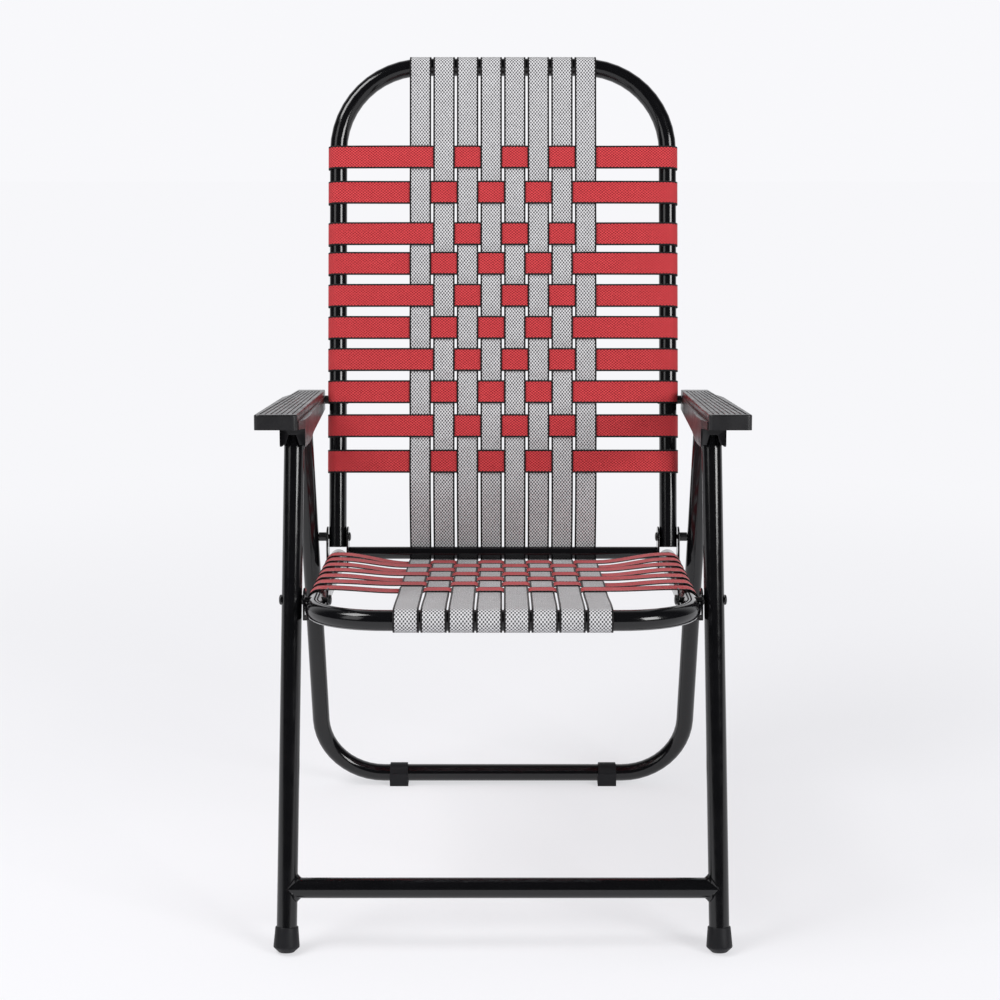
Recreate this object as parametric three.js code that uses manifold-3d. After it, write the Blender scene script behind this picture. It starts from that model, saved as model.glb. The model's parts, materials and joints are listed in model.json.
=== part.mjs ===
// Folding lawn chair: bent steel tube frame, woven webbing, moulded armrests.
// Millimetres, +Z up, the chair faces -Y, origin on the floor under the middle of its box.
import * as THREE from 'three';
import { mergeVertices } from 'three/addons/utils/BufferGeometryUtils.js';
import Module from 'manifold-3d';

const wasm = await Module();
wasm.setup();

// Frame tubes
const TUBE_RADIUS = 11.1;
const TUBE_WALL = 1.6;
const SEAT_BAR_RADIUS = 7.9;
const TUBE_SIDES = 16;
const BORE_SIDES = 8;
const BEND_STEPS = 6;

// Clearances
const FIT = 0.3;
const PIN_FIT = 0.5;
const WEB_FIT = 0.6;
const OVERCUT = 2;

// Side view: tilt of each part of the frame in degrees, and the pivots
const RECLINE = 13.7;
const SEAT_SLOPE = 6.2;
const ARM_SLOPE = 5.7;
const REAR_LEAN = 9.25;
const HINGE_HEIGHT = 353.4;
const HINGE_ABOVE_RAIL = 29;
const LEG_PIVOT_REACH = 375;
const LEG_PIVOT_ABOVE_RAIL = 7;
const ARM_LINK = 175;

// Front legs, which spread from the seat pivot to the floor
const FRONT_LEG_X = 230.3;
const FRONT_FLOOR_X = 235.2;
const FRONT_LEG_TOP = 9;
const FRONT_BAR_UP = 70;
const FOOT_RADIUS = 14.3;
const FOOT_NECK_RADIUS = 12.5;
const FOOT_TREAD_RADIUS = 8;
const FOOT_TREAD_UP = 0.5;
const FOOT_CHAMFER_UP = 6.5;
const FOOT_HEIGHT = 28.5;
const FOOT_SOLE = 6;

// Rear legs
const REAR_LEG_X = 246.1;
const REAR_BAR_X = 239.1;
const REAR_BEND_RADIUS = 82;
const REAR_LEG_TOP = 7;
const GUIDE_UP = 172;
const GUIDE_RADIUS = 3;
const GLIDE_X = 138.8;
const GLIDE_LENGTH = 24.5;
const GLIDE_LIP = 0.8;
const GLIDE_WALL = 2.1;
const GLIDE_SOLE = 4.8;
const GLIDE_PAD_UP = 5;

// Back
const BACK_X = 210.6;
const BACK_LENGTH = 602;
const BACK_TAIL = 13.4;
const BACK_BEND_RADIUS = 108;

// Seat
const SEAT_NOSE = 94;
const SEAT_TAIL = 13;
const SEAT_FRONT_X = 203.5;
const SEAT_BEND_RADIUS = 80;
const SEAT_BAR_BELOW_HINGE = 21.2;
const SEAT_BAR_BEHIND_HINGE = 2.3;

// Brackets
const PLATE = 2.2;
const EAR_FIT = 0.6;
const EAR_HALF_WIDTH = 13;

// Pivot pins
const PIN_RADIUS = 3;
const PIN_SIDES = 10;
const PIN_HEAD_RADIUS = 5.6;
const PIN_HEAD = 2.6;
const PIN_COLLAR_RADIUS = 5.4;
const ARM_PIN_TIP = 1.4;

// Armrests, in the frame of the pivot on the back
const ARM_TOP = 12;
const ARM_NOSE = 51.7;
const ARM_TAIL = 13;
const ARM_INNER_REAR_X = 228.4;
const ARM_INNER_MID_X = 221.9;
const ARM_INNER_FRONT_X = 219.5;
const ARM_MID = 240;
const ARM_OUTER_REAR_X = 263.4;
const ARM_OUTER_MID_X = 268.1;
const ARM_OUTER_FRONT_X = 266.3;
const ARM_STEP_START = 83;
const ARM_STEP_END = 133;
const ARM_CORNER = 6;
const ARM_FRONT_DEPTH = 16.6;
const ARM_REAR_DEPTH = 25;
const ARM_WALL = 2;
const ARM_PLATE = 3.5;
const ARM_LEDGE = 3.5;
const ARM_WALL_PROUD = 2.5;
const ARM_WALL_DROP = 7.5;
const LUG_HALF_WIDTH = 20;
const LUG_BELOW_PIN = 6.4;
const LUG_WALL = 2.2;
const LUG_FIT = 0.6;
const LUG_RUN = 62;
const LUG_FLARE = 1;
const LUG_CHAMFER = 2;
const ARCH_WALL = 3;
const ARCH_RISE = 13;
const ARCH_TOP = 8.4;
const ARCH_FOOT = 15.3;
const NOTCH_FIT = 0.5;
const RIB_GROOVES = 7;
const GROOVE_WIDTH = 2.2;
const GROOVE_DEPTH = 0.8;
const GROOVE_FRONT = 9;
const GROOVE_REAR = 22;

// Webbing
const WEB_THICK = 1.3;
const WRAP_ANGLE = 200;
const WRAP_STEPS = 8;
const STRAP_WIDTH = 27.4;
const STRAP_PITCH = 30.1;
const STRAP_FRONT_PITCH = 29;
const STRAP_COUNT = 8;
const BAND_WIDTH = 29.5;

// Bands up the back as shares of its length, and along the seat as shares of the way to the front legs
const BACK_BAND_SHARES = [0.804, 0.729, 0.641, 0.578, 0.51, 0.442, 0.374, 0.306, 0.234, 0.159];
const SEAT_BAND_SHARES = [0.085, 0.197, 0.312, 0.432, 0.56, 0.691, 0.832];
const RAIL_SHARE_FIRST = 0.123;
const RAIL_SHARE_LAST = 0.864;

// Colours
const gloss = (name) => new THREE.MeshStandardMaterial({ name, color: 0x111216, roughness: 0.22, metalness: 0.4 });
const moulded = () => new THREE.MeshStandardMaterial({ name: 'armrest', color: 0x26262a, roughness: 0.5 });
const rubber = () => new THREE.MeshStandardMaterial({ name: 'foot', color: 0x161618, roughness: 0.7 });
const redWeb = () => new THREE.MeshStandardMaterial({ name: 'red_web', color: 0xb5202a, roughness: 0.8 });
const greyWeb = () => new THREE.MeshStandardMaterial({ name: 'grey_web', color: 0x9a989b, roughness: 0.8 });

const rad = THREE.MathUtils.degToRad;
const SIDES = [['left', -1], ['right', 1]];
const vec = (x, y, z) => new THREE.Vector3(x, y, z);
const AXIS_X = vec(1, 0, 0);

// A path given by its stations, with sections that keep one side direction.
class StationPath extends THREE.Curve {
  constructor(points, tangents, side) {
    super();
    this.points = points;
    this.tangents = tangents;
    this.side = side;
  }

  getSpacedPoints() {
    return this.points;
  }

  computeFrenetFrames() {
    const normals = this.points.map(() => this.side);
    const binormals = this.tangents.map((tangent) => tangent.clone().cross(this.side).normalize());
    return { tangents: this.tangents, normals, binormals };
  }
}

// Rounds each inner corner of a polyline, then returns stations with their tangents.
function roundedStations(corners, radius, steps) {
  const points = [corners[0]];
  const tangents = [corners[1].clone().sub(corners[0]).normalize()];
  for (let i = 1; i < corners.length - 1; i += 1) {
    const into = corners[i].clone().sub(corners[i - 1]).normalize();
    const out = corners[i + 1].clone().sub(corners[i]).normalize();
    const turn = into.angleTo(out);
    const axis = into.clone().cross(out).normalize();
    const start = corners[i].clone().addScaledVector(into, -radius * Math.tan(turn / 2));
    const centre = start.clone().addScaledVector(axis.clone().cross(into), radius);
    const arm = start.clone().sub(centre);
    for (let k = 0; k <= steps; k += 1) {
      const angle = (turn * k) / steps;
      points.push(centre.clone().add(arm.clone().applyAxisAngle(axis, angle)));
      tangents.push(into.clone().applyAxisAngle(axis, angle));
    }
  }
  const last = corners.length - 1;
  points.push(corners[last]);
  tangents.push(corners[last].clone().sub(corners[last - 1]).normalize());
  return { points, tangents };
}

function ringShape(outer, inner) {
  const polygon = (radius, sides) => Array.from({ length: sides }, (_, i) => {
    const angle = (2 * Math.PI * (i + 0.5)) / sides;
    return new THREE.Vector2(radius * Math.cos(angle), radius * Math.sin(angle));
  });
  const shape = new THREE.Shape(polygon(outer, TUBE_SIDES));
  shape.holes.push(new THREE.Path(polygon(inner, BORE_SIDES).reverse()));
  return shape;
}

function sweep(shape, stations, side) {
  const path = new StationPath(stations.points, stations.tangents, side);
  const steps = stations.points.length - 1;
  return new THREE.ExtrudeGeometry(shape, { steps, extrudePath: path, bevelEnabled: false });
}

// A hollow bent tube; side is square to the plane of its bends.
function bentTube(corners, radius, bend, side) {
  const stations = roundedStations(corners, bend, BEND_STEPS);
  return sweep(ringShape(radius, radius - TUBE_WALL), stations, side);
}

function straightTube(from, to, radius) {
  const along = to.clone().sub(from).normalize();
  const side = Math.abs(along.x) > 0.5 ? vec(0, 0, 1) : AXIS_X;
  return sweep(ringShape(radius, radius - TUBE_WALL), { points: [from, to], tangents: [along, along] }, side);
}

// Solids for cuts and joins
function toSolid(geometry) {
  const bare = geometry.clone();
  bare.deleteAttribute('normal');
  bare.deleteAttribute('uv');
  const merged = mergeVertices(bare, 1e-4);
  const vertProperties = new Float32Array(merged.attributes.position.array);
  const triVerts = new Uint32Array(merged.index.array);
  return new wasm.Manifold(new wasm.Mesh({ numProp: 3, vertProperties, triVerts }));
}

function toGeometry(solid) {
  const mesh = solid.getMesh();
  const geometry = new THREE.BufferGeometry();
  geometry.setAttribute('position', new THREE.BufferAttribute(new Float32Array(mesh.vertProperties), 3));
  geometry.setIndex(new THREE.BufferAttribute(new Uint32Array(mesh.triVerts), 1));
  return geometry;
}

const cut = (geometry, ...tools) =>
  toGeometry(tools.reduce((solid, tool) => solid.subtract(toSolid(tool)), toSolid(geometry)));
const join = (geometry, ...others) =>
  toGeometry(others.reduce((solid, other) => solid.add(toSolid(other)), toSolid(geometry)));
const common = (a, b) => toGeometry(toSolid(a).intersect(toSolid(b)));

// A round rod along X between two x values, at (y, z).
function rodX(x0, x1, radius, y, z, sides = PIN_SIDES) {
  const rod = new THREE.CylinderGeometry(radius, radius, Math.abs(x1 - x0), sides);
  rod.rotateZ(Math.PI / 2);
  rod.translate((x0 + x1) / 2, y, z);
  return rod;
}

const drill = (x0, x1, y, z, radius = PIN_RADIUS + PIN_FIT) => rodX(x0, x1, radius, y, z);

function block(x0, x1, y0, y1, z0, z1) {
  const box = new THREE.BoxGeometry(Math.abs(x1 - x0), y1 - y0, z1 - z0);
  box.translate((x0 + x1) / 2, (y0 + y1) / 2, (z0 + z1) / 2);
  return box;
}

// An outline of (y, z) in the side view, carried across x.
function across(outline, x0, x1) {
  const solid = new THREE.ExtrudeGeometry(outline, { depth: x1 - x0, bevelEnabled: false, curveSegments: 8 });
  solid.rotateX(Math.PI / 2);
  solid.rotateZ(Math.PI / 2);
  solid.translate(x0, 0, 0);
  return solid;
}

// A rivet along X at (y, z): stretches of [x, radius], lathed about its axis.
function rivet(stretches, y, z) {
  const profile = [new THREE.Vector2(0, stretches[0][0])];
  stretches.forEach(([x, radius]) => profile.push(new THREE.Vector2(radius, x)));
  profile.push(new THREE.Vector2(0, stretches[stretches.length - 1][0]));
  const lathe = new THREE.LatheGeometry(profile, PIN_SIDES);
  lathe.rotateZ(-Math.PI / 2);
  lathe.translate(0, y, z);
  return lathe;
}

const mirrorX = (geometry) => {
  const flipped = toGeometry(toSolid(geometry).mirror([1, 0, 0]));
  return flipped;
};

function addPiece(group, name, geometry, material) {
  const mesh = new THREE.Mesh(geometry, material);
  mesh.name = name;
  group.add(mesh);
}

// The right-hand piece is modelled, and the left-hand one is its mirror image.
function addPair(group, name, geometry, material) {
  addPiece(group, `${name}_right`, geometry, material());
  addPiece(group, `${name}_left`, mirrorX(geometry), material());
}

// A group whose local Z leans back by the given angle about a pivot (y, z).
function frameAt(pivot, lean) {
  const group = new THREE.Group();
  group.position.set(0, pivot.x, pivot.y);
  group.rotation.x = -rad(lean);
  chair.add(group);
  return group;
}

// From a local (y, z) in a leaning frame to the side view.
function inSideView(pivot, lean, y, z) {
  const a = rad(lean);
  return new THREE.Vector2(pivot.x + y * Math.cos(a) + z * Math.sin(a), pivot.y - y * Math.sin(a) + z * Math.cos(a));
}

// From the side view into a leaning frame.
function inFrame(pivot, lean, point) {
  const a = rad(lean);
  const y = point.x - pivot.x;
  const z = point.y - pivot.y;
  return new THREE.Vector2(y * Math.cos(a) - z * Math.sin(a), y * Math.sin(a) + z * Math.cos(a));
}

// Pivots in the side view (y, z). Seat, back, front leg and armrest form a parallelogram.
const chair = new THREE.Group();
const hinge = new THREE.Vector2(0, HINGE_HEIGHT);
const railZ = -HINGE_ABOVE_RAIL;
const legPivotLocal = new THREE.Vector2(-LEG_PIVOT_REACH, railZ + LEG_PIVOT_ABOVE_RAIL);
const legPivot = inSideView(hinge, SEAT_SLOPE, legPivotLocal.x, legPivotLocal.y);
const armPivot = inSideView(hinge, RECLINE, 0, ARM_LINK);
const armLegPivot = inSideView(legPivot, RECLINE, 0, ARM_LINK);
const floorBelowLeg = legPivot.y / Math.cos(rad(RECLINE));

const seatFrame = frameAt(hinge, SEAT_SLOPE);
const backFrame = frameAt(hinge, RECLINE);
const rearFrame = frameAt(hinge, -REAR_LEAN);
const legFrame = frameAt(legPivot, RECLINE);
const armFrame = frameAt(armPivot, ARM_SLOPE);

// Where the floor lies in a leaning frame, as a solid to cut with.
function floorBlock(pivot, lean) {
  const size = 2000;
  const slab = block(-size, size, -size, size, -size, 0);
  slab.translate(0, -pivot.x, -pivot.y);
  slab.rotateX(rad(lean));
  return slab;
}

// Rear legs
const rearBarHeight = TUBE_RADIUS + GLIDE_SOLE;
const rearLegLength = (HINGE_HEIGHT - rearBarHeight) / Math.cos(rad(REAR_LEAN));
const rearSpread = (REAR_LEG_X - REAR_BAR_X) / rearLegLength;
const rearXAt = (z) => REAR_LEG_X + rearSpread * z;

function rearLegTube() {
  const top = GUIDE_UP + REAR_LEG_TOP;
  const corners = [
    vec(-rearXAt(top), 0, top),
    vec(-REAR_BAR_X, 0, -rearLegLength),
    vec(REAR_BAR_X, 0, -rearLegLength),
    vec(rearXAt(top), 0, top),
  ];
  let tube = bentTube(corners, TUBE_RADIUS, REAR_BEND_RADIUS, vec(0, 1, 0));
  const outside = REAR_LEG_X + 2 * TUBE_RADIUS;
  tube = cut(tube, drill(-outside, -REAR_LEG_X / 2, 0, 0), drill(REAR_LEG_X / 2, outside, 0, 0));
  const stubs = SIDES.map(([, side]) => rodX(side * rearXAt(GUIDE_UP),
    side * (ARM_OUTER_REAR_X - FIT), GUIDE_RADIUS, 0, GUIDE_UP));
  return join(tube, ...stubs);
}
addPiece(rearFrame, 'rear_leg_frame', rearLegTube(), gloss('frame'));

function glide() {
  const outer = TUBE_RADIUS + FIT + GLIDE_WALL;
  const x0 = GLIDE_X - GLIDE_LENGTH / 2;
  const x1 = GLIDE_X + GLIDE_LENGTH / 2;
  const ring = rodX(x0 + GLIDE_LIP, x1 - GLIDE_LIP, outer, 0, -rearLegLength, TUBE_SIDES);
  const pad = block(x0, x1, -outer, outer, -rearLegLength - 2 * outer, -rearLegLength + GLIDE_PAD_UP);
  const bore = rodX(x0 - OVERCUT, x1 + OVERCUT, TUBE_RADIUS + FIT, 0, -rearLegLength, TUBE_SIDES);
  return cut(join(ring, pad), bore, floorBlock(hinge, -REAR_LEAN));
}
addPair(rearFrame, 'rear_foot', glide(), rubber);

// Seat frame: rails that draw in a little towards the front bar
const railXAt = (y) => BACK_X + ((BACK_X - SEAT_FRONT_X) / LEG_PIVOT_REACH) * y;
const seatFrontY = -LEG_PIVOT_REACH - SEAT_NOSE;

function seatTube() {
  const corners = [
    vec(-railXAt(SEAT_TAIL), SEAT_TAIL, railZ),
    vec(-railXAt(seatFrontY), seatFrontY, railZ),
    vec(railXAt(seatFrontY), seatFrontY, railZ),
    vec(railXAt(SEAT_TAIL), SEAT_TAIL, railZ),
  ];
  const tube = bentTube(corners, TUBE_RADIUS, SEAT_BEND_RADIUS, vec(0, 0, 1));
  const outside = SEAT_FRONT_X + 2 * TUBE_RADIUS;
  const holes = SIDES.map(([, side]) =>
    drill(side * (SEAT_FRONT_X / 2), side * outside, legPivotLocal.x, legPivotLocal.y));
  return cut(tube, ...holes);
}
addPiece(seatFrame, 'seat_frame', seatTube(), gloss('frame'));

// U brackets: two ears about a pin, joined under the rail
const earOffset = TUBE_RADIUS + EAR_FIT;
const bracketBottom = railZ - earOffset - PLATE;

function ear(pin, x0) {
  const outline = new THREE.Shape();
  outline.moveTo(pin.x - EAR_HALF_WIDTH, bracketBottom);
  outline.lineTo(pin.x + EAR_HALF_WIDTH, bracketBottom);
  outline.lineTo(pin.x + EAR_HALF_WIDTH, pin.y);
  outline.absarc(pin.x, pin.y, EAR_HALF_WIDTH, 0, Math.PI, false);
  outline.closePath();
  return across(outline, x0, x0 + PLATE);
}

function bracket(pin, innerX, outerX) {
  const base = block(innerX, outerX, pin.x - EAR_HALF_WIDTH, pin.x + EAR_HALF_WIDTH,
    bracketBottom, bracketBottom + PLATE);
  const solid = join(base, ear(pin, innerX), ear(pin, outerX - PLATE));
  return cut(solid, drill(innerX - OVERCUT, outerX + OVERCUT, pin.x, pin.y));
}

const innerEarX = BACK_X - earOffset - PLATE;
const outerEarX = BACK_X + earOffset + PLATE;
const hingeLocal = new THREE.Vector2(0, 0);
addPair(seatFrame, 'hinge_bracket', bracket(hingeLocal, innerEarX, outerEarX), () => gloss('bracket'));

const legEarInnerX = SEAT_FRONT_X - earOffset - PLATE;
const legEarOuterX = SEAT_FRONT_X + earOffset + PLATE;
addPair(seatFrame, 'leg_bracket', bracket(legPivotLocal, legEarInnerX, legEarOuterX), () => gloss('bracket'));

const seatBarZ = -SEAT_BAR_BELOW_HINGE;
const seatBarEnd = innerEarX - FIT;
addPiece(seatFrame, 'seat_crossbar', straightTube(vec(-seatBarEnd, SEAT_BAR_BEHIND_HINGE, seatBarZ),
  vec(seatBarEnd, SEAT_BAR_BEHIND_HINGE, seatBarZ), SEAT_BAR_RADIUS), gloss('frame'));

// Hinge pins and spacers
const rearInnerX = REAR_LEG_X - TUBE_RADIUS;
const rearOuterX = REAR_LEG_X + TUBE_RADIUS;
addPair(seatFrame, 'hinge_pin', rivet([
  [innerEarX - FIT - PIN_HEAD, PIN_HEAD_RADIUS * 0.6],
  [innerEarX - FIT - PIN_HEAD * 0.6, PIN_HEAD_RADIUS],
  [innerEarX - FIT, PIN_HEAD_RADIUS],
  [innerEarX - FIT, PIN_RADIUS],
  [rearOuterX + FIT, PIN_RADIUS],
  [rearOuterX + FIT, PIN_HEAD_RADIUS],
  [rearOuterX + FIT + PIN_HEAD * 0.6, PIN_HEAD_RADIUS],
  [rearOuterX + FIT + PIN_HEAD, PIN_HEAD_RADIUS * 0.6],
], 0, 0), () => gloss('pin'));

function spacer() {
  const body = rodX(outerEarX + FIT, rearInnerX - FIT, PIN_HEAD_RADIUS, 0, 0);
  return cut(body, drill(outerEarX - OVERCUT, rearInnerX + OVERCUT, 0, 0));
}
addPair(seatFrame, 'hinge_spacer', spacer(), () => gloss('pin'));

// Front leg pins, with a shoulder between leg and bracket
const legInnerX = FRONT_LEG_X - TUBE_RADIUS;
const legOuterX = FRONT_LEG_X + TUBE_RADIUS;
addPair(seatFrame, 'leg_pin', rivet([
  [legEarInnerX - FIT - PIN_HEAD, PIN_HEAD_RADIUS * 0.6],
  [legEarInnerX - FIT - PIN_HEAD * 0.6, PIN_HEAD_RADIUS],
  [legEarInnerX - FIT, PIN_HEAD_RADIUS],
  [legEarInnerX - FIT, PIN_RADIUS],
  [legEarOuterX + FIT, PIN_RADIUS],
  [legEarOuterX + FIT, PIN_COLLAR_RADIUS],
  [legInnerX - FIT, PIN_COLLAR_RADIUS],
  [legInnerX - FIT, PIN_RADIUS],
  [legOuterX + FIT, PIN_RADIUS],
  [legOuterX + FIT, PIN_HEAD_RADIUS],
  [legOuterX + FIT + PIN_HEAD * 0.6, PIN_HEAD_RADIUS],
  [legOuterX + FIT + PIN_HEAD, PIN_HEAD_RADIUS * 0.6],
], legPivotLocal.x, legPivotLocal.y), () => gloss('pin'));

// Back frame
function backTube() {
  const corners = [
    vec(-BACK_X, 0, -BACK_TAIL),
    vec(-BACK_X, 0, BACK_LENGTH),
    vec(BACK_X, 0, BACK_LENGTH),
    vec(BACK_X, 0, -BACK_TAIL),
  ];
  const tube = bentTube(corners, TUBE_RADIUS, BACK_BEND_RADIUS, vec(0, 1, 0));
  const outside = BACK_X + 2 * TUBE_RADIUS;
  const holes = SIDES.flatMap(([, side]) => [0, ARM_LINK].map((z) =>
    drill(side * (BACK_X / 2), side * outside, 0, z)));
  return cut(tube, ...holes);
}
addPiece(backFrame, 'back_frame', backTube(), gloss('frame'));

// Armrests. Places in the frame of the back pivot: y runs back, so forward is negative.
const legSpread = (FRONT_FLOOR_X - FRONT_LEG_X) / floorBelowLeg;
const legXAt = (z) => FRONT_LEG_X - legSpread * z;
const armLegLocal = inFrame(armPivot, ARM_SLOPE, armLegPivot);
const armReach = ARM_NOSE - armLegLocal.x;
const lugBottom = armLegLocal.y - LUG_BELOW_PIN;
const lugFront = armLegLocal.x - LUG_HALF_WIDTH;
const lugInnerX = legXAt(ARM_LINK) - TUBE_RADIUS - LUG_FIT - LUG_WALL;
const lugOuterX = legXAt(ARM_LINK) + TUBE_RADIUS + LUG_FIT + LUG_WALL;
const armFrontUnder = ARM_TOP - ARM_FRONT_DEPTH;
const armRearUnder = ARM_TOP - ARM_REAR_DEPTH;
const plateUnder = ARM_TOP - ARM_PLATE;
const wallTop = ARM_TOP - ARM_WALL_DROP;

// The inner edge of the top, and of the wall under it, which stands proud where it holds the front leg
const topEdge = new THREE.SplineCurve([
  new THREE.Vector2(ARM_INNER_REAR_X, ARM_TAIL),
  new THREE.Vector2(ARM_INNER_MID_X, -ARM_MID),
  new THREE.Vector2(ARM_INNER_FRONT_X, -armReach),
]).getPoints(6);
const wallEdge = [
  new THREE.Vector2(ARM_INNER_REAR_X, ARM_TAIL),
  new THREE.Vector2(ARM_INNER_MID_X - ARM_WALL_PROUD, -ARM_MID),
  new THREE.Vector2(lugInnerX + LUG_FLARE, armLegLocal.x + LUG_RUN),
  new THREE.Vector2(lugInnerX, armLegLocal.x + LUG_RUN / 2),
  new THREE.Vector2(lugInnerX, lugFront),
  new THREE.Vector2(ARM_INNER_FRONT_X, -armReach),
];

// The plan of the armrest, or of its hollow when it is drawn in by a wall.
function armPlan(edge, wall) {
  const outline = new THREE.Shape();
  const front = -armReach + wall;
  const rear = wall > 0 ? ARM_TAIL + OVERCUT : ARM_TAIL;
  const innerX = edge[edge.length - 1].x + wall;
  const outerX = ARM_OUTER_FRONT_X - wall;
  const corner = ARM_CORNER - wall;
  outline.moveTo(edge[0].x + wall, rear);
  edge.slice(1, -1).forEach((point) => outline.lineTo(point.x + wall, point.y));
  outline.lineTo(innerX, front + corner);
  outline.quadraticCurveTo(innerX, front, innerX + corner, front);
  outline.lineTo(outerX - corner, front);
  outline.quadraticCurveTo(outerX, front, outerX, front + corner);
  outline.lineTo(ARM_OUTER_MID_X - wall, -ARM_STEP_END);
  outline.lineTo(ARM_OUTER_REAR_X - wall, -ARM_STEP_START);
  outline.lineTo(ARM_OUTER_REAR_X - wall, rear);
  outline.closePath();
  return outline;
}

// An outline in plan, raised between two heights.
function raised(outline, z0, z1) {
  const solid = new THREE.ExtrudeGeometry(outline, { depth: z1 - z0, bevelEnabled: false, curveSegments: 4 });
  solid.translate(0, 0, z0);
  return solid;
}

// The side view above an underside given by its (y, z) points, from the front to the rear.
function above(underside) {
  const outline = new THREE.Shape();
  outline.moveTo(ARM_TAIL, ARM_TOP);
  outline.lineTo(-armReach, ARM_TOP);
  underside.forEach(([y, z]) => outline.lineTo(y, z));
  outline.closePath();
  return across(outline, 0, 2 * ARM_OUTER_MID_X);
}

const rim = above([[-armReach, armFrontUnder], [ARM_TAIL, armRearUnder]]);
const skirt = above([
  [-armReach, armFrontUnder],
  [lugFront, armFrontUnder],
  [lugFront, lugBottom + LUG_CHAMFER],
  [lugFront + LUG_CHAMFER, lugBottom],
  [armLegLocal.x + LUG_HALF_WIDTH / 2, lugBottom],
  [ARM_TAIL, armRearUnder],
]);

// The inner wall, with the gusset that hangs down to the front leg
function innerWall() {
  const outline = new THREE.Shape(wallEdge.concat(
    wallEdge.map((point) => new THREE.Vector2(point.x + LUG_WALL, point.y)).reverse()));
  const [front] = wallEdge.slice(-1);
  const rounding = block(front.x - ARM_CORNER, front.x + ARM_CORNER, front.y - OVERCUT, front.y + ARM_CORNER,
    lugBottom - OVERCUT, ARM_TOP);
  return common(cut(raised(outline, lugBottom, wallTop), rounding), skirt);
}

// The outer lug, and an arch in front of the leg that ties the lugs together
function legSocket() {
  const top = plateUnder + ARM_PLATE / 2;
  const outerLug = common(skirt, block(lugOuterX - LUG_WALL, lugOuterX, lugFront,
    armLegLocal.x + LUG_HALF_WIDTH, lugBottom, top));
  const middle = legXAt(ARM_LINK);
  const archFoot = lugBottom + LUG_CHAMFER;
  const underTop = ARM_INNER_FRONT_X + 2 * ARM_WALL;
  const outline = new THREE.Shape([
    [lugInnerX, wallTop],
    [lugInnerX, archFoot],
    [middle - ARCH_FOOT / 2, archFoot],
    [middle - ARCH_TOP / 2, lugBottom + ARCH_RISE],
    [middle + ARCH_TOP / 2, lugBottom + ARCH_RISE],
    [middle + ARCH_FOOT / 2, archFoot],
    [lugOuterX, archFoot],
    [lugOuterX, top],
    [underTop, top],
    [underTop, wallTop],
  ].map(([x, z]) => new THREE.Vector2(x, z)));
  const arch = new THREE.ExtrudeGeometry(outline, { depth: ARCH_WALL, bevelEnabled: false });
  arch.rotateX(Math.PI / 2);
  arch.translate(0, lugFront + ARCH_WALL, 0);
  return join(outerLug, arch);
}

// The outer wall stops short at the rear, where it seats on the guide stub of the rear leg.
const guideLocal = inFrame(armPivot, ARM_SLOPE, inSideView(hinge, -REAR_LEAN, 0, GUIDE_UP));

function guideNotch() {
  const reach = GUIDE_RADIUS + NOTCH_FIT;
  return block(ARM_OUTER_REAR_X - ARM_WALL - FIT, ARM_OUTER_REAR_X + OVERCUT, guideLocal.x - reach,
    ARM_TAIL + OVERCUT, lugBottom - OVERCUT, guideLocal.y + reach);
}

// Grooves along the top, which fan out from the rear to the front
function groove(index) {
  const share = (index + 1) / (RIB_GROOVES + 1);
  const frontX = THREE.MathUtils.lerp(ARM_INNER_FRONT_X, ARM_OUTER_FRONT_X, share);
  const rearX = THREE.MathUtils.lerp(ARM_INNER_REAR_X, ARM_OUTER_REAR_X, share);
  const half = GROOVE_WIDTH / 2;
  const outline = new THREE.Shape([
    new THREE.Vector2(frontX - half, -armReach + GROOVE_FRONT),
    new THREE.Vector2(frontX + half, -armReach + GROOVE_FRONT),
    new THREE.Vector2(rearX + half, -GROOVE_REAR),
    new THREE.Vector2(rearX - half, -GROOVE_REAR),
  ]);
  return raised(outline, ARM_TOP - GROOVE_DEPTH, ARM_TOP + OVERCUT);
}

function armrest() {
  const top = raised(armPlan(topEdge, 0), wallTop - ARM_LEDGE / 2, ARM_TOP);
  const body = common(raised(armPlan(wallEdge, 0), lugBottom, wallTop), rim);
  const hollow = raised(armPlan(wallEdge, ARM_WALL), lugBottom - OVERCUT, wallTop - ARM_LEDGE);
  const topHollow = raised(armPlan(topEdge, ARM_WALL), lugBottom - OVERCUT, plateUnder);
  const shell = cut(join(body, top), hollow, topHollow);
  const pinHole = drill(lugInnerX - OVERCUT, lugOuterX + OVERCUT, armLegLocal.x, armLegLocal.y);
  const backHole = drill(ARM_INNER_REAR_X - 2 * ARM_WALL, ARM_INNER_REAR_X + 2 * ARM_WALL, 0, 0);
  const grooves = Array.from({ length: RIB_GROOVES }, (_, index) => groove(index));
  return cut(join(shell, innerWall(), legSocket()), pinHole, backHole, guideNotch(), ...grooves);
}
addPair(armFrame, 'armrest', armrest(), moulded);

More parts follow.
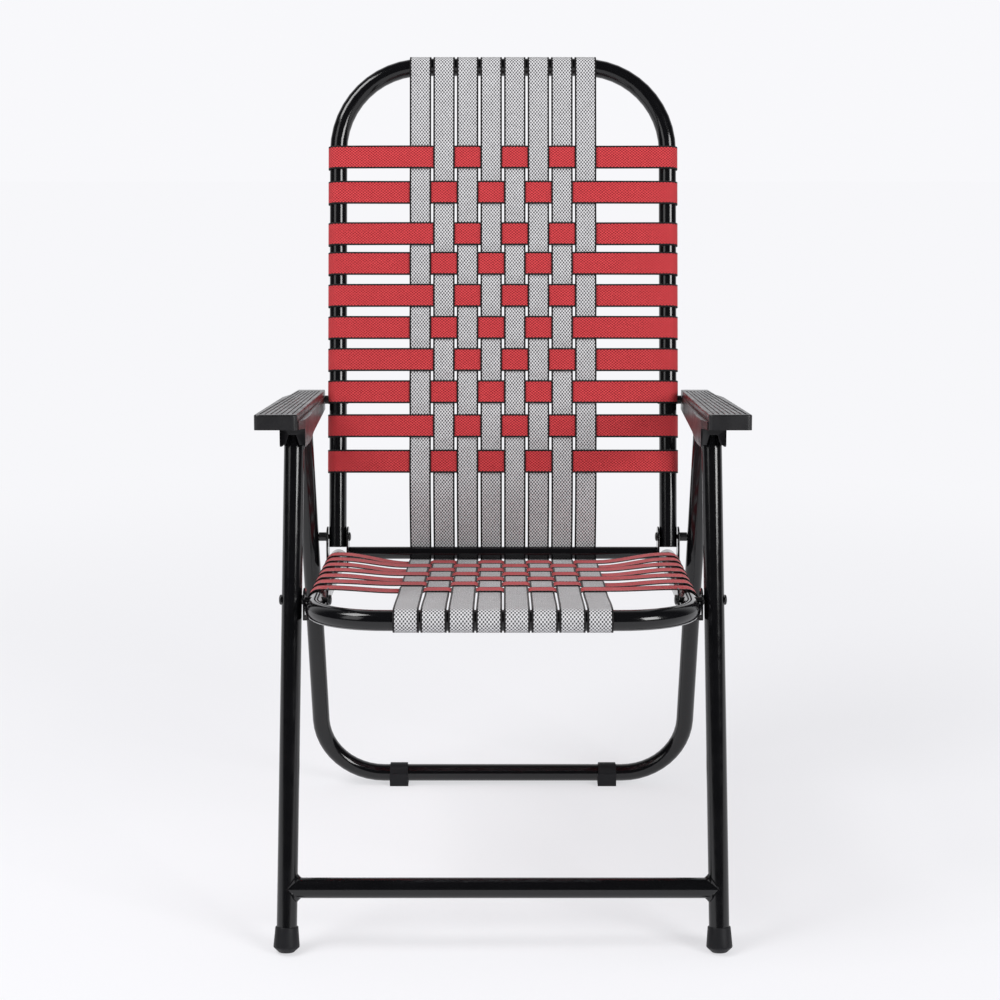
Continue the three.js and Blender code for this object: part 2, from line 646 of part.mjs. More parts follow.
// Pins from the back tube into the armrests
const wallXAt = (y) => THREE.MathUtils.mapLinear(y, wallEdge[0].y, wallEdge[1].y, wallEdge[0].x, wallEdge[1].x);
const armFaceX = wallXAt(-PIN_COLLAR_RADIUS);
const armFarX = wallXAt(PIN_COLLAR_RADIUS) + LUG_WALL;
const backInnerX = BACK_X - TUBE_RADIUS;
const backOuterX = BACK_X + TUBE_RADIUS;
addPair(backFrame, 'arm_pin', rivet([
  [backInnerX - FIT - PIN_HEAD, PIN_HEAD_RADIUS * 0.6],
  [backInnerX - FIT - PIN_HEAD * 0.6, PIN_HEAD_RADIUS],
  [backInnerX - FIT, PIN_HEAD_RADIUS],
  [backInnerX - FIT, PIN_RADIUS],
  [backOuterX + FIT, PIN_RADIUS],
  [backOuterX + FIT, PIN_COLLAR_RADIUS],
  [armFaceX - FIT, PIN_COLLAR_RADIUS],
  [armFaceX - FIT, PIN_RADIUS],
  [armFarX + FIT, PIN_RADIUS],
  [armFarX + FIT, PIN_COLLAR_RADIUS],
  [armFarX + FIT + ARM_PIN_TIP, PIN_COLLAR_RADIUS],
], 0, ARM_LINK), () => gloss('pin'));

// Pins through the armrest lugs and the front leg tops, flush with the lugs
addPair(armFrame, 'arm_leg_pin', rodX(lugInnerX + FIT, lugOuterX - FIT, PIN_RADIUS, armLegLocal.x, armLegLocal.y),
  () => gloss('pin'));

// Front legs, in the frame of their pivot on the seat
const legTilt = Math.atan(legSpread);

function frontLeg() {
  const bottom = -floorBelowLeg + FOOT_SOLE + FIT;
  const top = ARM_LINK + FRONT_LEG_TOP;
  const leg = straightTube(vec(legXAt(bottom), 0, bottom), vec(legXAt(top), 0, top), TUBE_RADIUS);
  const outside = FRONT_LEG_X + 2 * TUBE_RADIUS;
  return cut(leg, ...[0, ARM_LINK].map((z) => drill(FRONT_LEG_X / 2, outside, 0, z)));
}
addPair(legFrame, 'front_leg', frontLeg(), () => gloss('frame'));

function frontBar() {
  const z = -floorBelowLeg + FRONT_BAR_UP;
  const x = legXAt(z);
  const bar = straightTube(vec(-x, 0, z), vec(x, 0, z), TUBE_RADIUS);
  const copes = SIDES.map(([, side]) => {
    const cope = new THREE.CylinderGeometry(TUBE_RADIUS + FIT, TUBE_RADIUS + FIT, 4 * TUBE_RADIUS, TUBE_SIDES);
    cope.rotateX(Math.PI / 2);
    cope.rotateZ(Math.PI / TUBE_SIDES);
    cope.rotateY(-side * legTilt);
    cope.translate(side * x, 0, z);
    return cope;
  });
  const ends = SIDES.map(([, side]) => block(side * x, side * (x + TUBE_RADIUS),
    -2 * TUBE_RADIUS, 2 * TUBE_RADIUS, z - 2 * TUBE_RADIUS, z + 2 * TUBE_RADIUS));
  return cut(bar, ...copes, ...ends);
}
addPiece(legFrame, 'front_crossbar', frontBar(), gloss('frame'));

// A cap with a chamfered tread, measured up the leg from the floor
function footCap() {
  const bore = TUBE_RADIUS + FIT;
  const profile = [
    [0, FOOT_TREAD_UP],
    [FOOT_TREAD_RADIUS, FOOT_TREAD_UP],
    [FOOT_RADIUS, FOOT_CHAMFER_UP],
    [FOOT_NECK_RADIUS, FOOT_HEIGHT],
    [bore, FOOT_HEIGHT],
    [bore, FOOT_SOLE],
    [0, FOOT_SOLE],
  ].map(([radius, up]) => new THREE.Vector2(radius, up - floorBelowLeg));
  const cap = new THREE.LatheGeometry(profile, TUBE_SIDES);
  cap.rotateX(Math.PI / 2);
  cap.rotateY(-legTilt);
  cap.translate(FRONT_LEG_X, 0, 0);
  return cut(cap, floorBlock(legPivot, RECLINE));
}
addPair(legFrame, 'front_foot', footCap(), rubber);

// Webbing: a strip of rectangular section along stations (points in a plane)
const webLift = TUBE_RADIUS + WEB_FIT + WEB_THICK / 2;
const barLift = SEAT_BAR_RADIUS + WEB_FIT + WEB_THICK / 2;
const weave = (WEB_THICK + WEB_FIT) / 2;

function strip(points, width, side) {
  const tangents = points.map((point, i) => {
    const before = points[Math.max(i - 1, 0)];
    const after = points[Math.min(i + 1, points.length - 1)];
    const into = point.clone().sub(before).normalize();
    const out = after.clone().sub(point).normalize();
    return into.add(out).normalize();
  });
  const shape = new THREE.Shape([
    new THREE.Vector2(-width / 2, -WEB_THICK / 2),
    new THREE.Vector2(width / 2, -WEB_THICK / 2),
    new THREE.Vector2(width / 2, WEB_THICK / 2),
    new THREE.Vector2(-width / 2, WEB_THICK / 2),
  ]);
  return sweep(shape, { points, tangents }, side);
}

// Points on an arc in a plane, from one angle to another in degrees.
function arc(u0, v0, radius, from, to, steps) {
  return Array.from({ length: steps + 1 }, (_, i) => {
    const angle = rad(from + ((to - from) * i) / steps);
    return new THREE.Vector2(u0 + radius * Math.cos(angle), v0 + radius * Math.sin(angle));
  });
}

const strapX = (column) => (column - (STRAP_COUNT - 1) / 2) * STRAP_PITCH;
const redOnTop = (row, column) => (row + column) % 2 === 0;

// A band runs across x in the plane of x and lift, and wraps round a tube at each end.
function bandPoints(tubeX, middleLift, over, columnX = strapX) {
  const points = arc(-tubeX, 0, webLift, 90 + WRAP_ANGLE, 90, WRAP_STEPS);
  const half = STRAP_WIDTH / 2 + WEB_FIT / 4;
  over.forEach((onTop, column) => {
    const lift = middleLift + (onTop ? weave : -weave);
    points.push(new THREE.Vector2(columnX(column) - half, lift));
    points.push(new THREE.Vector2(columnX(column) + half, lift));
  });
  return points.concat(arc(tubeX, 0, webLift, 90, 90 - WRAP_ANGLE, WRAP_STEPS));
}

// Back webbing: lift is measured forward of the back tube's axis
const columns = Array.from({ length: STRAP_COUNT }, (_, column) => column);
const backBands = BACK_BAND_SHARES.map((share) => share * BACK_LENGTH);
backBands.forEach((height, row) => {
  const over = columns.map((column) => redOnTop(row, column));
  const points = bandPoints(BACK_X, webLift, over).map((p) => vec(p.x, -p.y, height));
  let band = strip(points, BAND_WIDTH, vec(0, 0, 1));
  const hole = PIN_HEAD_RADIUS + WEB_FIT;
  if (Math.abs(height - ARM_LINK) < BAND_WIDTH / 2 + hole) {
    const reach = backOuterX + webLift;
    band = cut(band, drill(-reach, -backInnerX / 2, 0, ARM_LINK, hole), drill(backInnerX / 2, reach, 0, ARM_LINK, hole));
  }
  addPiece(backFrame, `back_band_${row + 1}`, band, redWeb());
});

const seatBarInBack = inFrame(hinge, RECLINE, inSideView(hinge, SEAT_SLOPE, SEAT_BAR_BEHIND_HINGE, seatBarZ));
columns.forEach((column) => {
  const points = arc(0, BACK_LENGTH, webLift, 180 - WRAP_ANGLE, 180, WRAP_STEPS);
  backBands.forEach((height, row) => {
    const lift = webLift + (redOnTop(row, column) ? -weave : weave);
    points.push(new THREE.Vector2(-lift, height + BAND_WIDTH / 2));
    points.push(new THREE.Vector2(-lift, height - BAND_WIDTH / 2));
  });
  points.push(new THREE.Vector2(seatBarInBack.x + barLift, seatBarInBack.y + SEAT_BAR_RADIUS));
  const stations = points.map((p) => vec(strapX(column), p.x, p.y));
  addPiece(backFrame, `back_strap_${column + 1}`, strip(stations, STRAP_WIDTH, AXIS_X), greyWeb());
});

// Seat webbing: lift is measured up from the rail axis
const frontLift = webLift;
const rearLift = seatBarZ - railZ - barLift;
const seatLiftAt = (y) => rearLift + ((frontLift - rearLift) * (y - SEAT_BAR_BEHIND_HINGE)) / (seatFrontY - SEAT_BAR_BEHIND_HINGE);

// The straps draw together a little towards the front bar.
const strapDraw = (1 - STRAP_FRONT_PITCH / STRAP_PITCH) / seatFrontY;
const seatStrapX = (column, y) => strapX(column) * (1 - strapDraw * y);

// Each band crosses the straps at its own place and is spread evenly along the rails at its ends.
const seatBands = SEAT_BAND_SHARES.map((share) => share * LEG_PIVOT_REACH);
seatBands.forEach((forward, row) => {
  const share = THREE.MathUtils.lerp(RAIL_SHARE_FIRST, RAIL_SHARE_LAST, row / (seatBands.length - 1));
  const onRail = share * LEG_PIVOT_REACH;
  const over = columns.map((column) => !redOnTop(row, column));
  const reach = seatStrapX(STRAP_COUNT - 1, -forward) + STRAP_WIDTH;
  const points = bandPoints(railXAt(-onRail), seatLiftAt(-forward), over, (column) => seatStrapX(column, -forward))
    .map((p) => vec(p.x, Math.abs(p.x) < reach ? -forward : -onRail, railZ + p.y));
  addPiece(seatFrame, `seat_band_${row + 1}`, strip(points, BAND_WIDTH, vec(0, -1, 0)), redWeb());
});

columns.forEach((column) => {
  const points = arc(SEAT_BAR_BEHIND_HINGE, seatBarZ - railZ, barLift, 0, -90, WRAP_STEPS - 4);
  seatBands.forEach((forward, row) => {
    const lift = seatLiftAt(-forward) + (redOnTop(row, column) ? weave : -weave);
    points.push(new THREE.Vector2(-forward + BAND_WIDTH / 2, lift));
    points.push(new THREE.Vector2(-forward - BAND_WIDTH / 2, lift));
  });
  points.push(...arc(seatFrontY, 0, webLift, 90, 90 + WRAP_ANGLE, WRAP_STEPS));
  const stations = points.map((p) => vec(seatStrapX(column, p.x), p.x, railZ + p.y));
  addPiece(seatFrame, `seat_strap_${column + 1}`, strip(stations, STRAP_WIDTH, AXIS_X), greyWeb());
});

// Origin under the middle of the chair's box
chair.updateMatrixWorld(true);
const box = new THREE.Box3().setFromObject(chair, true);
chair.position.y = -(box.min.y + box.max.y) / 2;

export default chair;
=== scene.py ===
"""Dressed model of a folding lawn chair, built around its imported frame."""
import json
import math

import bmesh
import bpy
from mathutils import Matrix, Vector


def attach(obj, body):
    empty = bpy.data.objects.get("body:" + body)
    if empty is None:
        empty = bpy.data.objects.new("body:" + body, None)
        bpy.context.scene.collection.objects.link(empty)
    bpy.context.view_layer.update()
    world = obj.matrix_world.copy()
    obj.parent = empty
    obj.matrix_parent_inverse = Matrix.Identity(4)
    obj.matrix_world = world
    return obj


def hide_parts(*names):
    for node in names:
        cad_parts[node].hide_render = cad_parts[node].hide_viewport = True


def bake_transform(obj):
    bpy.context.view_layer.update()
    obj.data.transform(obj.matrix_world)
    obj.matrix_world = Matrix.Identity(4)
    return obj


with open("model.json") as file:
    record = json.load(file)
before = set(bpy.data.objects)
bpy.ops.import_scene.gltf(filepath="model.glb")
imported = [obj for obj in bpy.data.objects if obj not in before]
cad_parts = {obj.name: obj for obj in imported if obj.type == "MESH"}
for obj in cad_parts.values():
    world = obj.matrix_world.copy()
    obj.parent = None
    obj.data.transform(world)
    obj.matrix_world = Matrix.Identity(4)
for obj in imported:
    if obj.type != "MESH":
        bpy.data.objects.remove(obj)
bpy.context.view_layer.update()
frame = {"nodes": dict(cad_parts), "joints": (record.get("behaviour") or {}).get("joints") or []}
scene = bpy.context.scene
nodes = frame["nodes"]
MM = 0.001
SIDES = (("left", -1), ("right", 1))
X_WAY = Vector((1, 0, 0))
Y_WAY = Vector((0, 1, 0))

# Angles are in degrees and sizes in millimetres; the frame's own sizes are those of the part's source
RECLINE = 13.7
SEAT_SLOPE = 6.2
ARM_SLOPE = 5.7
REAR_LEAN = 9.25
ARM_LINK = 175.0
FIT = 0.3
TUBE_R = 11.1
TUBE_WALL = 1.6
TUBE_LIP = 0.45
TUBE_LIP_RUN = 1.8
TUBE_RECESS = 16.0
SNUG_R = TUBE_R + FIT / 2

# Rear legs and their glides
REAR_LEG_X = 246.1
REAR_BAR_X = 239.1
REAR_LEG_TOP = 7.0
REAR_BEND = 82.0
GUIDE_UP = 172.0
GUIDE_R = 3.0
GUIDE_SINK = 1.5
GUIDE_CHAMFER = 0.6
GLIDE_X = 138.8
GLIDE_LENGTH = 24.5
GLIDE_LIP = 0.8
GLIDE_R = 13.5
GLIDE_SOLE = 4.8
GLIDE_PAD_UP = 5.0
GLIDE_SKIN = 0.05
GLIDE_EDGE = 0.5

# Back, and seat with its places as (y, z) from the hinge
BACK_X = 210.6
BACK_LENGTH = 602.0
BACK_TAIL = 13.4
BACK_BEND = 108.0
RAIL_Z = -29.0
SEAT_FRONT = -469.0
SEAT_FRONT_X = 203.5
SEAT_TAIL = 13.0
SEAT_BEND = 80.0
SEAT_BAR = (2.3, -21.2)
SEAT_BAR_R = 7.9
LEG_PIVOT = (-375.0, -22.0)

# Front legs, their feet and the welds of their crossbar
FRONT_LEG_X = 230.3
FRONT_FLOOR_X = 235.2
FRONT_LEG_TOP = 9.0
FRONT_BAR_UP = 70.0
FOOT_R = 14.3
FOOT_NECK_R = 12.5
FOOT_TREAD_R = 8.0
FOOT_HEIGHT = 28.5
FOOT_SOLE = 6.0
WELD_CORNER = 4.2
WELD_SIDE = 1.0
WELD_RIPPLE = 0.06
WELD_RIPPLES = 16
WELD_HOLLOW = 2.3

# Brackets, armrests and rivets
PLATE = 2.2
EAR_FIT = 0.6
BRACKET_EDGE = 0.6
ARM_TOP = 12.0
ARM_ROUND = 2.4
ARM_FALL = 2.0
ARM_EDGE = 0.9
ARM_OUTER_X = 263.4
ARM_FACE_X = 227.7
ARM_FAR_X = 230.3
LUG_FIT = 0.6
LUG_WALL = 2.2
PIN_R = 3.0
PIN_EDGE = 0.4
PIN_HEAD_R = 5.6
PIN_HEAD = 2.6
PIN_HEAD_RIM = 0.35
PIN_CROWN_R = 0.15
PIN_COLLAR_R = 5.4
ARM_PIN_TIP = 1.4
ARM_PIN_TAPER = 0.5
BUSH_GAP = 0.4

# Webbing; a band's place is a share of the back's length, or of the way from hinge to leg pivot
WEB_FIT = 0.6
WEB_ROOM = 1.3
WEB_THICK = 1.06
WEB_STEP = 2.4
WRAP = 200.0
STRAPS = 8
STRAP_W = 27.4
STRAP_PITCH = 30.1
STRAP_FRONT_PITCH = 29.0
BAND_W = 29.5
BACK_BAND_SHARES = (0.804, 0.729, 0.641, 0.578, 0.51, 0.442, 0.374, 0.306, 0.234, 0.159)
SEAT_BAND_SHARES = (0.085, 0.197, 0.312, 0.432, 0.56, 0.691, 0.832)
RAIL_SHARE_FIRST = 0.123
RAIL_SHARE_LAST = 0.864
BACK_BANDS = [share * BACK_LENGTH for share in BACK_BAND_SHARES]
SEAT_BANDS = [share * -LEG_PIVOT[0] for share in SEAT_BAND_SHARES]
WEAVE = (WEB_ROOM + WEB_FIT) / 2
LIFT = TUBE_R + WEB_FIT + WEB_ROOM / 2
BAR_LIFT = SEAT_BAR_R + WEB_FIT + WEB_ROOM / 2
SELVAGE_SWELL = 0.09
SELVAGE_ROUND = 0.14
SELVAGE_SHOULDER = 0.7
SELVAGE_CROWN = 0.5
SELVAGE_WIDTH = 1.0

# How far flat webbing stops short of a crossing's edges, and how long it stays flat beside the tubes
BAND_EASE = 2.2
STRAP_EASE = 1.0
RAIL_FLAT = 4.0
TOP_FLAT = 10.0
BAR_FLAT = 1.0
FRONT_FLAT = 6.0

# A strap's drop from the back to the seat's rear bar, and the ends of a stretch on the back
DROP_STEPS = 30
DROP_EASE = 0.6
DROP_ABOVE_BAR = 1.0
BAR_TURN_START = -8.0
BAR_TURN_END = -90.0
BLEND_START = -14.0
BLEND_END = 70.0

# Steps of round shapes, and the angles above which an edge is sharp
ROUND = 36
RIVET_ROUND = 28
GUIDE_ROUND = 20
GLIDE_STEPS = 120
WELD_STEPS = 96
WELD_RING = 12
DOME_STEPS = 5
BEND_STEP = 7.5
ARC_STEP = 6.0
SHARP_FLAT = 32.0
SHARP_TURNED = 35.0
SHARP_GLIDE = 40.0
SHARP_TUBE = 50.0
SHARP_WEB = 60.0

# How close is close enough: degrees, millimetres, a plain number and two in metres
FLAT_WITHIN = 1.0
TOP_WITHIN = 0.05
TINY = 1e-6
MERGE_WITHIN = 1e-6
CUT_WITHIN = 1e-7


class Lean:
    """A frame of the side view: millimetres about a pivot, with its z axis leaning back."""

    def __init__(self, joint, degrees):
        place = next(j["pos_m"] for j in frame["joints"] if j["name"] == joint)
        self.pivot = Vector((0, place[1], place[2]))
        self.turn = Matrix.Rotation(-math.radians(degrees), 3, "X")

    def __call__(self, x, y, z):
        return self.pivot + self.turn @ Vector((x, y, z)) * MM

    def way(self, x, y, z):
        return self.turn @ Vector((x, y, z))

    def local(self, point):
        return self.turn.transposed() @ (point - self.pivot) / MM


# The front legs stay parallel to the back
seat = Lean("seat_fold", SEAT_SLOPE)
back = Lean("seat_fold", RECLINE)
rear = Lean("seat_fold", -REAR_LEAN)
leg = Lean("front_leg_fold", RECLINE)
arm = Lean("left_arm_fold", ARM_SLOPE)


# Materials
def put(tree, kind, values=None, **settings):
    """Adds a node with its settings, and links or sets its inputs; gives its first output."""
    node = tree.nodes.new(kind)
    for key, value in settings.items():
        setattr(node, key, value)
    for socket, value in (values or {}).items():
        if isinstance(value, bpy.types.NodeSocket):
            tree.links.new(value, node.inputs[socket])
        else:
            node.inputs[socket].default_value = value
    return node.outputs[0]


def calc(tree, operation, a, b=0.0, c=0.0):
    return put(tree, "ShaderNodeMath", {0: a, 1: b, 2: c}, operation=operation)


def ramp(tree, value, low, high, to_low=0.0, to_high=1.0):
    values = {"Value": value, "From Min": low, "From Max": high, "To Min": to_low, "To Max": to_high}
    return put(tree, "ShaderNodeMapRange", values, interpolation_type="SMOOTHSTEP")


def noise(tree, scale, detail=3.0):
    place = tree.nodes.new("ShaderNodeTexCoord").outputs["Object"]
    return put(tree, "ShaderNodeTexNoise", {"Vector": place, "Scale": scale, "Detail": detail})


# A mix node's inputs and outputs for colours, whose names other kinds of data share
MIX_FACTOR = 0
MIX_FIRST = 6
MIX_SECOND = 7
MIX_RESULT = 2


def mix(tree, factor, a, b):
    node = tree.nodes.new("ShaderNodeMix")
    node.data_type = "RGBA"
    for socket, value in ((MIX_FACTOR, factor), (MIX_FIRST, a), (MIX_SECOND, b)):
        if isinstance(value, bpy.types.NodeSocket):
            tree.links.new(value, node.inputs[socket])
        else:
            node.inputs[socket].default_value = (*value, 1.0)
    return node.outputs[MIX_RESULT]


def start_material(name):
    material = bpy.data.materials.new(name)
    material.use_nodes = True
    tree = material.node_tree
    return material, tree, tree.nodes["Principled BSDF"]


def bump(tree, bsdf, height, distance, strength=1.0):
    values = {"Height": height, "Distance": distance, "Strength": strength}
    tree.links.new(put(tree, "ShaderNodeBump", values), bsdf.inputs["Normal"])


TONE_SCALE = 22.0
GLOSS_SCALE = 60.0
GLOSS_LOW = 0.3
GLOSS_HIGH = 0.7
GRAIN_DETAIL = 2.0


def hard_material(name, dark, pale, rough, spread, grain_scale, grain_depth, specular=0.5):
    """Paint or moulded plastic: slow changes of tone and gloss, and a fine grain."""
    material, tree, bsdf = start_material(name)
    tone = mix(tree, noise(tree, TONE_SCALE), dark, pale)
    tree.links.new(tone, bsdf.inputs["Base Color"])
    gloss = ramp(tree, noise(tree, GLOSS_SCALE), GLOSS_LOW, GLOSS_HIGH, rough - spread, rough + spread)
    tree.links.new(gloss, bsdf.inputs["Roughness"])
    bsdf.inputs["Specular IOR Level"].default_value = specular
    bump(tree, bsdf, noise(tree, grain_scale, GRAIN_DETAIL), grain_depth)
    return material


YARN_SCALE = 40.0
WANDER_SCALE = 300.0
WANDER_DETAIL = 1.0
WANDER = 0.3
DOT_EDGE = 0.34
YARN_EDGE = -0.22
STITCH = 0.14
# The edge band's softness and near-black colour: partly the webbing's own selvage, partly painted contact
# shade where strips cross
SELVAGE_AND_SHADE_SOFT = 0.15
SELVAGE_AND_SHADE_COLOUR = (0.005, 0.004, 0.005)
THREAD_DEPTH = 0.00025
THREAD_STRENGTH = 0.7


def web_material(name, yarn, dull, fleck, column, pick, half_width, edge, contrast):
    """Woven webbing: dark dots in staggered rows, and a dark band along each edge, partly the webbing's
    selvage and partly painted contact shade.
    """
    material, tree, bsdf = start_material(name)
    uv = put(tree, "ShaderNodeUVMap", uv_map="web")
    split = tree.nodes.new("ShaderNodeSeparateXYZ")
    tree.links.new(uv, split.inputs[0])
    across = split.outputs[0]
    along = split.outputs[1]
    warp = calc(tree, "COSINE", calc(tree, "MULTIPLY", across, math.pi / column))
    weft = calc(tree, "COSINE", calc(tree, "MULTIPLY", along, 2 * math.pi / pick))
    lattice = calc(tree, "MULTIPLY", warp, weft)
    uneven = noise(tree, WANDER_SCALE, WANDER_DETAIL)
    wander = calc(tree, "MULTIPLY_ADD", uneven, WANDER, -WANDER / 2)
    thread = ramp(tree, calc(tree, "ADD", lattice, wander), DOT_EDGE, YARN_EDGE)
    body = mix(tree, noise(tree, YARN_SCALE), yarn, dull)
    body = mix(tree, calc(tree, "MULTIPLY_ADD", thread, contrast, 1.0 - contrast), fleck, body)
    # A dark band along each edge, partly selvage and partly painted shade that stands in for the contact
    # shadow where strips cross
    stitch = calc(tree, "SINE", calc(tree, "MULTIPLY", along, 4 * math.pi / pick))
    border = calc(tree, "MULTIPLY_ADD", stitch, STITCH, half_width - edge)
    past = calc(tree, "SUBTRACT", calc(tree, "ABSOLUTE", across), border)
    selvage_and_shade = ramp(tree, past, -SELVAGE_AND_SHADE_SOFT, SELVAGE_AND_SHADE_SOFT)
    tree.links.new(mix(tree, selvage_and_shade, body, SELVAGE_AND_SHADE_COLOUR), bsdf.inputs["Base Color"])
    bsdf.inputs["Roughness"].default_value = 0.72
    bsdf.inputs["Specular IOR Level"].default_value = 0.3
    bsdf.inputs["Sheen Weight"].default_value = 0.16
    bsdf.inputs["Sheen Roughness"].default_value = 0.35
    bump(tree, bsdf, thread, THREAD_DEPTH, THREAD_STRENGTH)
    return material


paint = hard_material(
    "gloss_paint", dark=(0.0024, 0.0024, 0.003), pale=(0.004, 0.004, 0.0048),
    rough=0.13, spread=0.03, grain_scale=900.0, grain_depth=0.00001,
)
rivet_paint = hard_material(
    "rivet_paint", dark=(0.004, 0.004, 0.005), pale=(0.008, 0.008, 0.009),
    rough=0.32, spread=0.06, grain_scale=700.0, grain_depth=0.00003,
)
plastic = hard_material(
    "moulded_plastic", dark=(0.006, 0.006, 0.007), pale=(0.011, 0.0105, 0.012),
    rough=0.33, spread=0.05, grain_scale=1500.0, grain_depth=0.00005,
)
foot_plastic = hard_material(
    "foot_plastic", dark=(0.01, 0.01, 0.0115), pale=(0.014, 0.014, 0.016),
    rough=0.46, spread=0.06, grain_scale=1200.0, grain_depth=0.00006, specular=0.16,
)
# Each webbing's edge is the width of its dark edge band, partly selvage and partly painted contact shade
red_web = web_material(
    "red_webbing", yarn=(0.68, 0.056, 0.064), dull=(0.6, 0.042, 0.05), fleck=(0.25, 0.008, 0.013),
    column=1.7, pick=4.2, half_width=BAND_W / 2, edge=2.1, contrast=1.0,
)
grey_web = web_material(
    "grey_webbing", yarn=(0.69, 0.69, 0.7), dull=(0.6, 0.595, 0.605), fleck=(0.04, 0.04, 0.043),
    column=1.9, pick=4.6, half_width=STRAP_W / 2, edge=2.15, contrast=0.95,
)


# Pieces and meshes
def new_piece(name, mesh, material, body, cad):
    """A piece that stands for CAD nodes; it rides on a body, if one is given."""
    obj = bpy.data.objects.new(name, mesh)
    scene.collection.objects.link(obj)
    mesh.materials.append(material)
    if body:
        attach(obj, body)
    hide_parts(*cad)
    return obj


def shade(mesh, sharp):
    mesh.shade_smooth()
    mesh.set_sharp_from_angle(angle=math.radians(sharp))


def mesh_from(name, verts, faces, sharp):
    mesh = bpy.data.meshes.new(name)
    mesh.from_pydata(verts, [], faces)
    solid = bmesh.new()
    solid.from_mesh(mesh)
    bmesh.ops.recalc_face_normals(solid, faces=solid.faces)
    solid.to_mesh(mesh)
    solid.free()
    shade(mesh, sharp)
    return mesh


def joined(name, meshes, sharp):
    """One mesh made of several that belong to the same piece."""
    solid = bmesh.new()
    for mesh in meshes:
        solid.from_mesh(mesh)
    result = bpy.data.meshes.new(name)
    solid.to_mesh(result)
    solid.free()
    for mesh in meshes:
        bpy.data.meshes.remove(mesh)
    shade(result, sharp)
    return result


def bevel(obj, width, segments=3, sharp=SHARP_FLAT):
    modifier = obj.modifiers.new("edges", "BEVEL")
    modifier.width = width * MM
    modifier.segments = segments
    modifier.limit_method = "ANGLE"
    modifier.angle_limit = math.radians(sharp)
    modifier.harden_normals = True


def turns(count):
    return [2 * math.pi * k / count for k in range(count)]


def circle(centre, side, other, radius, count):
    spins = turns(count)
    return [centre + (side * math.cos(spin) + other * math.sin(spin)) * radius * MM for spin in spins]


def ring_faces(rings, count):
    """Faces between rings of count points each, and one over each end."""
    faces = []
    for ring in range(rings - 1):
        for k in range(count):
            a = ring * count + k
            b = ring * count + (k + 1) % count
            faces.append((a, b, b + count, a + count))
    faces.append(tuple(range(count)))
    faces.append(tuple(range((rings - 1) * count, rings * count)))
    return faces


def bend(corners, radius=0.0):
    """A polyline with its inner corners rounded: stations and their tangents."""
    points = [corners[0]]
    tangents = [(corners[1] - corners[0]).normalized()]
    for before, corner, after in zip(corners, corners[1:], corners[2:]):
        into = (corner - before).normalized()
        out = (after - corner).normalized()
        turn = into.angle(out)
        axis = into.cross(out).normalized()
        start = corner - into * radius * MM * math.tan(turn / 2)
        centre = start + axis.cross(into) * radius * MM
        count = max(2, round(math.degrees(turn) / BEND_STEP))
        for k in range(count + 1):
            spin = Matrix.Rotation(turn * k / count, 3, axis)
            points.append(centre + spin @ (start - centre))
            tangents.append(spin @ into)
    points.append(corners[-1])
    tangents.append((corners[-1] - corners[-2]).normalized())
    return points, tangents


def tube_mesh(name, path, radius, side):
    """A tube along a path, its ends open for a little way, with rounded lips."""
    points, tangents = path
    bore = radius - TUBE_WALL
    rim = [
        (TUBE_RECESS, bore), (TUBE_LIP, bore), (0.0, bore + TUBE_LIP),
        (0.0, radius - TUBE_LIP), (TUBE_LIP, radius), (TUBE_LIP_RUN, radius),
    ]
    first = tangents[0]
    last = tangents[-1]
    stations = [(points[0] + first * depth * MM, first, r) for depth, r in rim]
    stations += [(point, tangent, radius) for point, tangent in zip(points[1:-1], tangents[1:-1])]
    stations += [(points[-1] - last * depth * MM, last, r) for depth, r in reversed(rim)]
    verts = []
    for point, tangent, r in stations:
        verts += circle(point, side, tangent.cross(side).normalized(), r, ROUND)
    return mesh_from(name, verts, ring_faces(len(stations), ROUND), SHARP_TUBE)


def lathe_mesh(name, profile, place, axis, side, count=ROUND):
    """Turns (distance along the axis, radius) pairs about the axis, closed at both ends."""
    other = axis.cross(side).normalized()
    verts = []
    for along, radius in profile:
        verts += circle(place + axis * along * MM, side, other, radius, count)
    return mesh_from(name, verts, ring_faces(len(profile), count), SHARP_TURNED)


# Frame tubes
def u_corners(lean, half_a, half_b, along_a, along_b):
    return [
        lean(-half_a, *along_a), lean(-half_b, *along_b),
        lean(half_b, *along_b), lean(half_a, *along_a),
    ]


def add_tube(name, path, radius, side, body, node):
    mesh = tube_mesh(name, path, radius, side)
    new_piece(name, mesh, paint, body, [node])


rear_bar_height = TUBE_R + GLIDE_SOLE
hinge_height = rear.pivot.z / MM
rear_length = (hinge_height - rear_bar_height) / math.cos(math.radians(REAR_LEAN))
rear_spread = (REAR_LEG_X - REAR_BAR_X) / rear_length
rear_top = GUIDE_UP + REAR_LEG_TOP


def rear_x(z):
    return REAR_LEG_X + rear_spread * z


rear_corners = u_corners(rear, rear_x(rear_top), REAR_BAR_X, (0, rear_top), (0, -rear_length))
rear_parts = [tube_mesh("rear_tube", bend(rear_corners, REAR_BEND), TUBE_R, rear.way(0, 1, 0))]
stub_end = ARM_OUTER_X - FIT
stub = [
    (rear_x(GUIDE_UP) + TUBE_R - GUIDE_SINK, GUIDE_R),
    (stub_end - GUIDE_CHAMFER, GUIDE_R),
    (stub_end, GUIDE_R - GUIDE_CHAMFER),
]
for _, side in SIDES:
    place = rear(0, 0, GUIDE_UP)
    rear_parts.append(lathe_mesh("stub", stub, place, X_WAY * side, Y_WAY, GUIDE_ROUND))
rear_mesh = joined("rear_frame", rear_parts, SHARP_TUBE)
new_piece("rear_tube", rear_mesh, paint, "rear_legs", ["rear_leg_frame"])


def rail_x(y):
    return BACK_X + (BACK_X - SEAT_FRONT_X) / -LEG_PIVOT[0] * y


